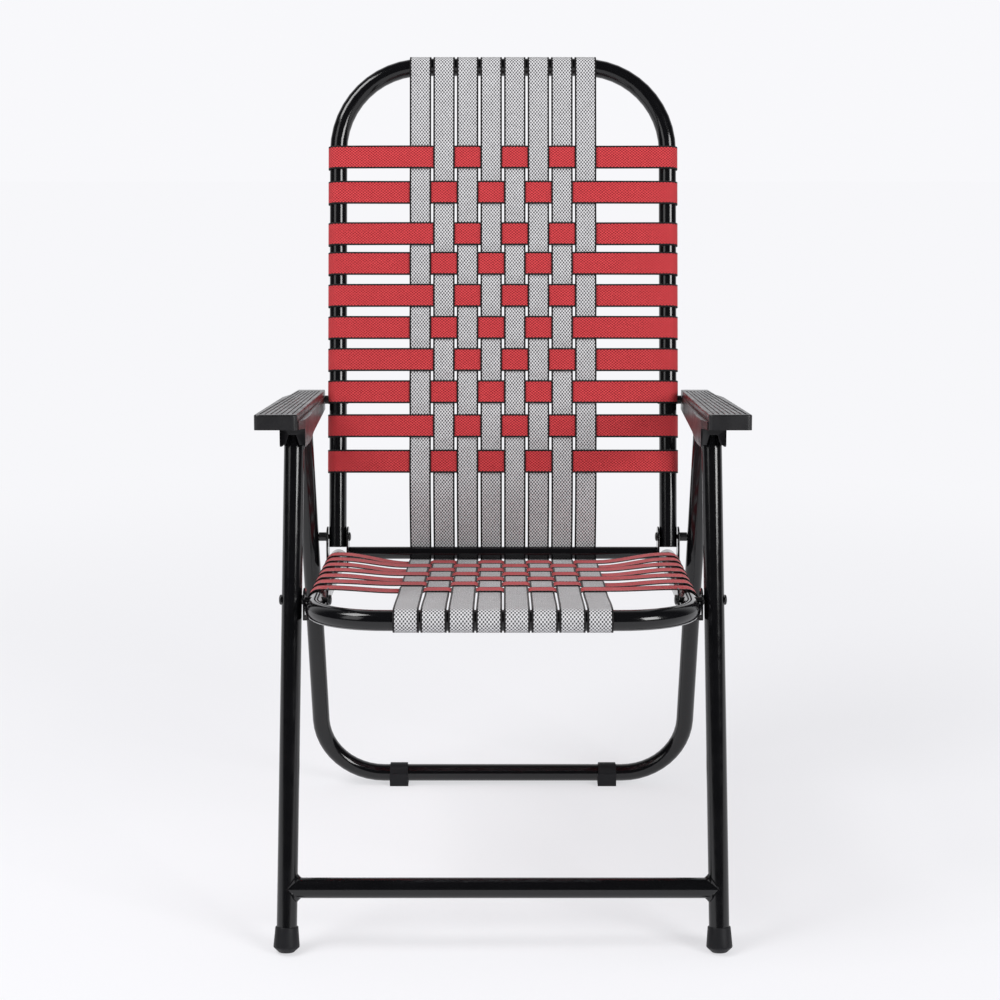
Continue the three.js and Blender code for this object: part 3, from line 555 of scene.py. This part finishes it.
def ears(x):
    """The inner and outer faces of a bracket's ears, round a tube at x."""
    reach = TUBE_R + EAR_FIT + PLATE
    return x - reach, x + reach


hinge_ear_in, hinge_ear_out = ears(BACK_X)
leg_ear_in, leg_ear_out = ears(SEAT_FRONT_X)

rail_ends = (SEAT_TAIL, RAIL_Z)
rail_fronts = (SEAT_FRONT, RAIL_Z)
seat_corners = u_corners(seat, rail_x(SEAT_TAIL), rail_x(SEAT_FRONT), rail_ends, rail_fronts)
add_tube("seat_tube", bend(seat_corners, SEAT_BEND), TUBE_R, seat.way(0, 0, 1), "seat", "seat_frame")

back_corners = u_corners(back, BACK_X, BACK_X, (0, -BACK_TAIL), (0, BACK_LENGTH))
add_tube("back_tube", bend(back_corners, BACK_BEND), TUBE_R, back.way(0, 1, 0), "back", "back_frame")

bar_end = hinge_ear_in - FIT
bar_path = bend([seat(-bar_end, *SEAT_BAR), seat(bar_end, *SEAT_BAR)])
add_tube("seat_bar", bar_path, SEAT_BAR_R, seat.way(0, 0, 1), "seat", "seat_crossbar")

floor_below = leg.pivot.z / MM / math.cos(math.radians(RECLINE))
leg_spread = (FRONT_FLOOR_X - FRONT_LEG_X) / floor_below
leg_low = -floor_below + FOOT_SOLE + FIT
leg_high = ARM_LINK + FRONT_LEG_TOP
front_bar_z = -floor_below + FRONT_BAR_UP


def leg_x(z):
    return FRONT_LEG_X - leg_spread * z


for name, side in SIDES:
    ends = [leg(side * leg_x(z), 0, z) for z in (leg_low, leg_high)]
    add_tube("front_tube_" + name, bend(ends), TUBE_R, X_WAY, "front_legs", "front_leg_" + name)


def cope_x(spin):
    """Where the crossbar's wall meets the leg, a tube of the same size, at an angle round the bar."""
    up = TUBE_R * math.sin(spin)
    return leg_x(front_bar_z + up) - abs(up)


def hollow(share):
    """Draws a weld's round section in, so that its faces are a little hollow."""
    return math.copysign(abs(share) ** WELD_HOLLOW, share)


def weld(side, base):
    """A fillet weld round one end of the crossbar: its points, and its faces counted from base."""
    verts = []
    faces = []
    for spin in turns(WELD_STEPS):
        ripple = 1.0 + WELD_RIPPLE * math.sin(WELD_RIPPLES * spin)
        size = (WELD_SIDE + (WELD_CORNER - WELD_SIDE) * math.sin(spin) ** 2) * ripple
        for turn in turns(WELD_RING):
            x = side * cope_x(spin) + size * hollow(math.sin(turn))
            reach = TUBE_R + size * hollow(math.cos(turn))
            verts.append(leg(x, reach * math.cos(spin), front_bar_z + reach * math.sin(spin)))
    for k in range(WELD_STEPS):
        here = base + k * WELD_RING
        there = base + (k + 1) % WELD_STEPS * WELD_RING
        for r in range(WELD_RING):
            n = (r + 1) % WELD_RING
            faces.append((here + r, here + n, there + n, there + r))
    return verts, faces


def front_bar_mesh():
    """The welded crossbar: its ends follow the legs, with a fillet weld round each."""
    verts = []
    for _, side in SIDES:
        for spin in turns(ROUND):
            x = side * (cope_x(spin) + FIT)
            verts.append(leg(x, TUBE_R * math.cos(spin), front_bar_z + TUBE_R * math.sin(spin)))
    faces = ring_faces(len(SIDES), ROUND)
    for _, side in SIDES:
        weld_verts, weld_faces = weld(side, len(verts))
        verts += weld_verts
        faces += weld_faces
    return mesh_from("front_bar", verts, faces, SHARP_TUBE)


new_piece("front_bar", front_bar_mesh(), paint, "front_legs", ["front_crossbar"])


# Feet
def above_floor(mesh):
    """Cuts a mesh off flat at the floor."""
    solid = bmesh.new()
    solid.from_mesh(mesh)
    everything = solid.verts[:] + solid.edges[:] + solid.faces[:]
    cut = bmesh.ops.bisect_plane(
        solid, geom=everything, dist=CUT_WITHIN,
        plane_co=(0, 0, 0), plane_no=(0, 0, 1), clear_inner=True,
    )
    rim = [edge for edge in cut["geom_cut"] if isinstance(edge, bmesh.types.BMEdge)]
    bmesh.ops.contextual_create(solid, geom=rim)
    bmesh.ops.recalc_face_normals(solid, faces=solid.faces)
    solid.to_mesh(mesh)
    solid.free()
    shade(mesh, SHARP_TURNED)
    return mesh


# A foot cap's outline as (height, radius): eased tread, flared side, shoulder, neck, lip and bore
foot_outline = [
    (0.5, FOOT_TREAD_R - 0.5), (0.6, FOOT_TREAD_R - 0.1), (0.9, FOOT_TREAD_R + 0.4),
    (5.7, FOOT_R - 0.7), (6.3, FOOT_R - 0.25), (7.0, FOOT_R - 0.04), (8.0, FOOT_R - 0.1),
    (FOOT_HEIGHT - 1.0, FOOT_NECK_R + 0.04), (FOOT_HEIGHT - 0.4, FOOT_NECK_R - 0.15),
    (FOOT_HEIGHT, FOOT_NECK_R - 0.6), (FOOT_HEIGHT, SNUG_R), (FOOT_SOLE + 0.5, SNUG_R),
]
for name, side in SIDES:
    place = leg(side * FRONT_FLOOR_X, 0, -floor_below)
    axis = leg.way(-side * leg_spread, 0, 1).normalized()
    mesh = lathe_mesh("front_cap_" + name, foot_outline, place, axis, leg.way(0, 1, 0))
    cap = above_floor(mesh)
    new_piece("front_cap_" + name, cap, foot_plastic, "front_legs", ["front_foot_" + name])


def glide_reach(c, s, padded):
    """How far a glide's outside is from the bar's axis, towards (c back, s up)."""
    reach = GLIDE_R
    if padded:
        reach = GLIDE_R / max(abs(c), TINY)
        if s > 0:
            reach = min(reach, GLIDE_PAD_UP / s)
    down = -(c * math.sin(math.radians(REAR_LEAN)) + s * math.cos(math.radians(REAR_LEAN)))
    if down > 0:
        reach = min(reach, rear_bar_height / down)
    return max(reach, SNUG_R)


def glide_part(name, side, half_length, padded):
    """A ring round the rear bar, or the square pad below it, with a flat sole."""
    verts = []
    faces = []
    for x in (GLIDE_X - half_length, GLIDE_X + half_length):
        for outside in (True, False):
            for spin in turns(GLIDE_STEPS):
                c = math.cos(spin)
                s = math.sin(spin)
                reach = glide_reach(c, s, padded) if outside else SNUG_R - GLIDE_SKIN
                verts.append(rear(side * x, reach * c, -rear_length + reach * s))
    inner = GLIDE_STEPS
    far = 2 * GLIDE_STEPS
    for k in range(GLIDE_STEPS):
        n = (k + 1) % GLIDE_STEPS
        faces.append((k, n, inner + n, inner + k))
        faces.append((far + k, far + n, far + inner + n, far + inner + k))
        faces.append((k, n, far + n, far + k))
        faces.append((inner + k, inner + n, far + inner + n, far + inner + k))
    return mesh_from(name, verts, faces, SHARP_FLAT)


for name, side in SIDES:
    ring = glide_part("ring", side, GLIDE_LENGTH / 2 - GLIDE_LIP, False)
    pad = glide_part("pad", side, GLIDE_LENGTH / 2, True)
    mesh = joined("glide_" + name, [ring, pad], SHARP_FLAT)
    glide = new_piece("glide_" + name, mesh, foot_plastic, "rear_legs", ["rear_foot_" + name])
    bevel(glide, GLIDE_EDGE, segments=2, sharp=SHARP_GLIDE)


# Brackets and armrests
def top_rim(solid, lean, top, depth):
    """Edges between a flat top and the sides that fall from it by more than a depth."""
    rim = []
    for edge in solid.edges:
        lowest = min(lean.local(v.co).z for v in edge.verts)
        if len(edge.link_faces) != 2 or lowest < top - TOP_WITHIN:
            continue
        reach = min(lean.local(v.co).z for face in edge.link_faces for v in face.verts)
        if reach < top - depth:
            rim.append(edge)
    return rim


def from_cad(node, material, body, width, top=None):
    """The node's own shape with its flat faces made whole and its edges rounded."""
    mesh = nodes[node].data.copy()
    mesh.materials.clear()
    solid = bmesh.new()
    solid.from_mesh(mesh)
    bmesh.ops.remove_doubles(solid, verts=solid.verts, dist=MERGE_WITHIN)
    flat = math.radians(FLAT_WITHIN)
    bmesh.ops.dissolve_limit(solid, angle_limit=flat, verts=solid.verts, edges=solid.edges)
    if top:
        bmesh.ops.bevel(
            solid, geom=top_rim(solid, *top), offset=ARM_ROUND * MM, offset_type="OFFSET",
            segments=4, profile=0.5, affect="EDGES", clamp_overlap=True,
        )
    solid.to_mesh(mesh)
    solid.free()
    shade(mesh, SHARP_FLAT)
    bevel(new_piece("look_" + node, mesh, material, body, [node]), width)


for name, _ in SIDES:
    from_cad("hinge_bracket_" + name, paint, "seat", BRACKET_EDGE)
    from_cad("leg_bracket_" + name, paint, "seat", BRACKET_EDGE)
    from_cad("armrest_" + name, plastic, name + "_arm", ARM_EDGE, top=(arm, ARM_TOP, ARM_FALL))


# Rivets: outlines run outwards from the middle of the chair, as (x, radius)
def dome(x, way):
    """A rivet head's outline, from its flat at x out to its crown."""
    points = [(x, PIN_HEAD_R), (x + way * PIN_HEAD * PIN_HEAD_RIM, PIN_HEAD_R)]
    for k in range(1, DOME_STEPS + 1):
        angle = math.pi / 2 * k / DOME_STEPS
        reach = PIN_HEAD * (PIN_HEAD_RIM + (1 - PIN_HEAD_RIM) * math.sin(angle))
        points.append((x + way * reach, max(PIN_HEAD_R * math.cos(angle), PIN_CROWN_R)))
    return points


def head_in(x):
    return dome(x, -1)[::-1]


def head_out(x):
    return dome(x, 1)


def stretch(x0, x1, radius=PIN_R):
    return [(x0, radius), (x1, radius)]


def eased(x0, x1, radius, edge=PIN_EDGE):
    """A stretch with a chamfer at each end."""
    return [(x0, radius - edge), (x0 + edge, radius), (x1 - edge, radius), (x1, radius - edge)]


def rivet(name, outline, place, body, node, side):
    mesh = lathe_mesh(name, outline, place, X_WAY * side, Y_WAY, RIVET_ROUND)
    new_piece(name, mesh, rivet_paint, body, [node])


for name, side in SIDES:
    inner = hinge_ear_in - FIT
    outer = REAR_LEG_X + TUBE_R + FIT
    outline = head_in(inner) + stretch(inner, outer) + head_out(outer)
    rivet("hinge_rivet_" + name, outline, seat(0, 0, 0), "seat", "hinge_pin_" + name, side)

    inner = hinge_ear_out + FIT
    outer = REAR_LEG_X - TUBE_R - FIT
    bush_bore = PIN_R + BUSH_GAP
    outline = [(inner, bush_bore)] + eased(inner, outer, PIN_HEAD_R) + [(outer, bush_bore)]
    rivet("hinge_bush_" + name, outline, seat(0, 0, 0), "seat", "hinge_spacer_" + name, side)

    inner = leg_ear_in - FIT
    collar_in = leg_ear_out + FIT
    collar_out = FRONT_LEG_X - TUBE_R - FIT
    outer = FRONT_LEG_X + TUBE_R + FIT
    outline = head_in(inner) + stretch(inner, collar_in) + stretch(collar_in, collar_out, PIN_COLLAR_R)
    outline += stretch(collar_out, outer) + head_out(outer)
    rivet("leg_rivet_" + name, outline, seat(0, *LEG_PIVOT), "seat", "leg_pin_" + name, side)

    inner = BACK_X - TUBE_R - FIT
    collar_in = BACK_X + TUBE_R + FIT
    collar_out = ARM_FACE_X - FIT
    tip = ARM_FAR_X + FIT
    tip_end = tip + ARM_PIN_TIP
    outline = head_in(inner) + stretch(inner, collar_in) + stretch(collar_in, collar_out, PIN_COLLAR_R)
    outline += stretch(collar_out, tip) + stretch(tip, tip_end - PIN_EDGE, PIN_COLLAR_R)
    outline.append((tip_end, PIN_COLLAR_R - ARM_PIN_TAPER))
    rivet("arm_rivet_" + name, outline, back(0, 0, ARM_LINK), "back", "arm_pin_" + name, side)

    lug_reach = TUBE_R + LUG_FIT + LUG_WALL - FIT
    outline = eased(leg_x(ARM_LINK) - lug_reach, leg_x(ARM_LINK) + lug_reach, PIN_R)
    rivet("lug_rivet_" + name, outline, leg(0, 0, ARM_LINK), name + "_arm", "arm_leg_pin_" + name, side)


# Webbing
def smooth(t):
    t = min(max(t, 0.0), 1.0)
    return t * t * (3 - 2 * t)


def arc(u, v, radius, begin, end):
    """Points round (u, v), from one angle to another in degrees."""
    count = max(2, round(abs(end - begin) / ARC_STEP))
    angles = [math.radians(begin + (end - begin) * k / count) for k in range(count + 1)]
    return [(u + radius * math.cos(t), v + radius * math.sin(t)) for t in angles]


def level(t, marks):
    """Height at t from flat stretches (start, end, height), eased from each to the next."""
    if t <= marks[0][0]:
        return marks[0][2]
    for (_, end, height), (start, _, following) in zip(marks, marks[1:]):
        if t <= end:
            return height
        if t < start:
            return height + (following - height) * smooth((t - end) / (start - end))
    return marks[-1][2]


def run(begin, end, marks):
    """Points from begin to end along u, at the height that the marks give."""
    count = max(2, round(abs(end - begin) / WEB_STEP))
    steps = [begin + (end - begin) * k / count for k in range(1, count)]
    sign = 1 if end > begin else -1
    ordered = [(sign * a, sign * b, h) for a, b, h in marks]
    return [(u, level(sign * u, ordered)) for u in steps]


def web_section(width):
    """A strip's section: flat in the middle, with round selvages."""
    half = width / 2
    thin = WEB_THICK / 2
    edge = thin + SELVAGE_SWELL
    rim = [
        (half, 0.0), (half - SELVAGE_ROUND, edge * SELVAGE_SHOULDER), (half - SELVAGE_CROWN, edge),
        (half - SELVAGE_WIDTH, thin), (half / 2, thin),
    ]
    upper = [(-u, h) for u, h in rim] + [(0.0, thin)] + rim[::-1]
    return upper + [(u, -h) for u, h in upper[-2:0:-1]]


def web_mesh(name, points, width_way, width):
    """A woven strip along points, with its weave's map in millimetres; gives its length too."""
    section = web_section(width)
    count = len(section)
    travel = [0.0]
    for before, after in zip(points, points[1:]):
        travel.append(travel[-1] + (after - before).length / MM)
    verts = []
    for i, point in enumerate(points):
        ahead = points[min(i + 1, len(points) - 1)] - points[max(i - 1, 0)]
        normal = ahead.cross(width_way).normalized()
        for u, h in section:
            verts.append(point + (width_way * u + normal * h) * MM)
    mesh = mesh_from(name, verts, ring_faces(len(points), count), SHARP_WEB)
    layer = mesh.uv_layers.new(name="web")
    for loop in mesh.loops:
        station, k = divmod(loop.vertex_index, count)
        layer.data[loop.index].uv = (section[k][0], travel[station])
    return mesh, travel[-1]


def add_web(name, points, way, width, material, cad, body):
    mesh, length = web_mesh(name, points, way, width)
    obj = new_piece(name, mesh, material, body, cad)
    return obj


def strap_x(column):
    return (column - (STRAPS - 1) / 2) * STRAP_PITCH


def seat_strap_x(column, y):
    """The straps draw together a little towards the front bar."""
    return strap_x(column) * (1 - (1 - STRAP_FRONT_PITCH / STRAP_PITCH) * y / SEAT_FRONT)


rear_lift = SEAT_BAR[1] - RAIL_Z - BAR_LIFT


def seat_lift(y):
    """The seat's webbing rises from under the rear bar to the top of the front bar."""
    share = (y - SEAT_BAR[0]) / (SEAT_FRONT - SEAT_BAR[0])
    return rear_lift + (LIFT - rear_lift) * share


def red_over(row, column):
    """Whether a band of the back shows in front of a strap; on the seat it is the other way round."""
    return (row + column) % 2 == 0


def band_points(tube_x, middle, over, columns):
    """A band in the plane of x and lift: round one tube, across the straps, round the other."""
    marks = [(-tube_x, -tube_x + RAIL_FLAT, LIFT)]
    reach = STRAP_W / 2 - BAND_EASE
    for x, on_top in zip(columns, over):
        height = middle + (WEAVE if on_top else -WEAVE)
        marks.append((x - reach, x + reach, height))
    marks.append((tube_x - RAIL_FLAT, tube_x, LIFT))
    points = arc(-tube_x, 0, LIFT, 90 + WRAP, 90) + run(-tube_x, tube_x, marks)
    return points + arc(tube_x, 0, LIFT, 90, 90 - WRAP)


for row, height in enumerate(BACK_BANDS):
    over = [red_over(row, column) for column in range(STRAPS)]
    columns = [strap_x(column) for column in range(STRAPS)]
    points = [back(x, -lift, height) for x, lift in band_points(BACK_X, LIFT, over, columns)]
    add_web(f"back_red_{row + 1}", points, back.way(0, 0, 1), BAND_W, red_web,
            [f"back_band_{row + 1}"], "back")

for row, forward in enumerate(SEAT_BANDS):
    over = [not red_over(row, column) for column in range(STRAPS)]
    columns = [seat_strap_x(column, -forward) for column in range(STRAPS)]
    row_share = row / (len(SEAT_BANDS) - 1)
    on_rail = -LEG_PIVOT[0] * (RAIL_SHARE_FIRST + (RAIL_SHARE_LAST - RAIL_SHARE_FIRST) * row_share)
    tube_x = rail_x(-on_rail)
    straight = columns[-1] + STRAP_W / 2
    points = []
    for x, lift in band_points(tube_x, seat_lift(-forward), over, columns):
        share = min(max((abs(x) - straight) / (tube_x - straight), 0.0), 1.0)
        points.append(seat(x, -forward + (forward - on_rail) * share, RAIL_Z + lift))
    add_web(f"seat_red_{row + 1}", points, seat.way(0, 1, 0), BAND_W, red_web,
            [f"seat_band_{row + 1}"], "seat")

bar_in_back = back.local(seat(0, *SEAT_BAR))
strap_reach = BAND_W / 2 - STRAP_EASE


def strap_on_back(column):
    """From the top bar down through the bands, and behind the seat's rear bar."""
    x = strap_x(column)
    points = [back(x, y, z) for y, z in arc(0, BACK_LENGTH, LIFT, 180 - WRAP, 180)]
    marks = [(BACK_LENGTH, BACK_LENGTH - TOP_FLAT, LIFT)]
    for row, height in enumerate(BACK_BANDS):
        lift = LIFT + (-WEAVE if red_over(row, column) else WEAVE)
        marks.append((height + strap_reach, height - strap_reach, lift))
    low = BACK_BANDS[-1] - BAND_W / 2
    points += [back(x, -lift, z) for z, lift in run(BACK_LENGTH, low, marks)]
    start_y = -marks[-1][2]
    end_y = bar_in_back.y + BAR_LIFT
    end_z = bar_in_back.z + DROP_ABOVE_BAR
    for k in range(DROP_STEPS + 1):
        t = k / DROP_STEPS
        y = start_y + (end_y - start_y) * (t * t * (1 + DROP_EASE - DROP_EASE * t))
        points.append(back(x, y, low + (end_z - low) * t))
    return points


def strap_on_seat(column):
    """Round the rear bar, forward through the bands, and over the front bar."""
    x = strap_x(column)
    turn = arc(*SEAT_BAR, BAR_LIFT, BAR_TURN_START, BAR_TURN_END)
    marks = [(SEAT_BAR[0], SEAT_BAR[0] - BAR_FLAT, rear_lift)]
    for row, forward in enumerate(SEAT_BANDS):
        height = seat_lift(-forward) + (WEAVE if red_over(row, column) else -WEAVE)
        marks.append((-forward + strap_reach, -forward - strap_reach, height))
    marks.append((SEAT_FRONT + FRONT_FLAT, SEAT_FRONT, LIFT))
    path = run(SEAT_BAR[0], SEAT_FRONT, marks) + arc(SEAT_FRONT, 0, LIFT, 90, 90 + WRAP)
    points = [seat(x, y, z) for y, z in turn]
    return points + [seat(seat_strap_x(column, y), y, RAIL_Z + lift) for y, lift in path]


for column in range(STRAPS):
    points = strap_on_back(column) + strap_on_seat(column)
    strap = add_web(f"grey_strap_{column + 1}", points, X_WAY, STRAP_W, grey_web,
                    [f"back_strap_{column + 1}", f"seat_strap_{column + 1}"], None)
    x = strap_x(column)
    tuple(back(x, 0, BLEND_START))
    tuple(back(x, 0, BLEND_END))
    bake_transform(strap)

# Floor, light and camera, with places and sizes in metres
FLOOR_HALF = 14.0
FLOOR_COLOUR = (0.93, 0.93, 0.955)
FLOOR_LIT = 0.4
SHADOW_NEAR = 0.5
SHADOW_FAR = 2.4
SKY_COLOUR = (0.94, 0.94, 0.965)
SKY_LIGHT = 0.5
STUDIO_DIM = 0.04
STUDIO_START = 0.25
STUDIO_END = 0.95
CAMERA_PLACE = (0.0, -2.3196, 0.9453)
CAMERA_PITCH = 12.36
CAMERA_LENS = 72.0
CAMERA_SENSOR = 36.0
CAMERA_SHIFT = -0.003


def seen_rays(tree, path):
    """One for rays from the camera, from reflections and through clear surfaces, and zero for the rest."""
    seen = calc(tree, "MAXIMUM", path.outputs["Is Camera Ray"], path.outputs["Is Glossy Ray"])
    return calc(tree, "MAXIMUM", seen, path.outputs["Is Transmission Ray"])


def floor_material():
    """A pale floor: plain colour where it is seen, with some real light near the chair for the shadow."""
    material, tree, bsdf = start_material("floor")
    tree.nodes.remove(bsdf)
    colour = (*FLOOR_COLOUR, 1.0)
    glow = put(tree, "ShaderNodeEmission", {"Color": colour, "Strength": 1.0})
    lit = put(tree, "ShaderNodeBsdfDiffuse", {"Color": colour})
    place = tree.nodes.new("ShaderNodeTexCoord").outputs["Object"]
    distance = tree.nodes.new("ShaderNodeVectorMath")
    distance.operation = "LENGTH"
    tree.links.new(place, distance.inputs[0])
    plain = ramp(tree, distance.outputs["Value"], SHADOW_NEAR, SHADOW_FAR, 1.0 - FLOOR_LIT, 1.0)
    seen = seen_rays(tree, tree.nodes.new("ShaderNodeLightPath"))
    share = calc(tree, "MULTIPLY", seen, plain)
    both = put(tree, "ShaderNodeMixShader", {0: share, 1: lit, 2: glow})
    tree.links.new(both, tree.nodes["Material Output"].inputs["Surface"])
    return material


floor_corners = [(-1, -1), (1, -1), (1, 1), (-1, 1)]
floor_mesh = bpy.data.meshes.new("floor")
floor_mesh.from_pydata([(FLOOR_HALF * x, FLOOR_HALF * y, 0) for x, y in floor_corners], [], [(0, 1, 2, 3)])
floor = bpy.data.objects.new("floor", floor_mesh)
scene.collection.objects.link(floor)
floor_mesh.materials.append(floor_material())

# The sky is pale where it is seen, though dim where a reflection looks forward, and a soft light elsewhere
world = bpy.data.worlds.new("studio")
scene.world = world
world.use_nodes = True
sky = world.node_tree
sky.nodes.clear()
path = sky.nodes.new("ShaderNodeLightPath")
seen = seen_rays(sky, path)
facing = sky.nodes.new("ShaderNodeSeparateXYZ")
sky.links.new(sky.nodes.new("ShaderNodeTexCoord").outputs["Generated"], facing.inputs[0])
studio = ramp(sky, facing.outputs[1], STUDIO_START, STUDIO_END, STUDIO_DIM, 1.0)
studio = calc(sky, "MAXIMUM", studio, path.outputs["Is Camera Ray"])
soft_light = calc(sky, "MULTIPLY_ADD", seen, -SKY_LIGHT, SKY_LIGHT)
strength = calc(sky, "MAXIMUM", calc(sky, "MULTIPLY", seen, studio), soft_light)
backdrop = put(sky, "ShaderNodeBackground", {"Color": (*SKY_COLOUR, 1.0), "Strength": strength})
out = sky.nodes.new("ShaderNodeOutputWorld")
sky.links.new(backdrop, out.inputs["Surface"])


def softbox(name, place, aim, size, power):
    light = bpy.data.lights.new(name, "AREA")
    light.shape = "RECTANGLE"
    light.size = size[0]
    light.size_y = size[1]
    light.energy = power
    obj = bpy.data.objects.new(name, light)
    obj.location = place
    obj.rotation_euler = (Vector(aim) - Vector(place)).to_track_quat("-Z", "Y").to_euler()
    scene.collection.objects.link(obj)


softbox("top", place=(-1.7, -0.7, 2.8), aim=(0, 0, 0.4), size=(1.2, 1.2), power=42)
softbox("key", place=(3.2, -3.1, 2.15), aim=(0, 0, 0.5), size=(1.8, 1.8), power=120)
softbox("fill", place=(-2.7, -2.2, 2.0), aim=(0, 0, 0.5), size=(1.6, 1.8), power=16)

camera = bpy.data.cameras.new("camera")
camera.lens = CAMERA_LENS
camera.sensor_width = CAMERA_SENSOR
camera.shift_x = CAMERA_SHIFT
eye = bpy.data.objects.new("camera", camera)
eye.location = CAMERA_PLACE
eye.rotation_euler = (math.radians(90.0 - CAMERA_PITCH), 0.0, 0.0)
scene.collection.objects.link(eye)
scene.camera = eye
scene.view_settings.view_transform = "Standard"
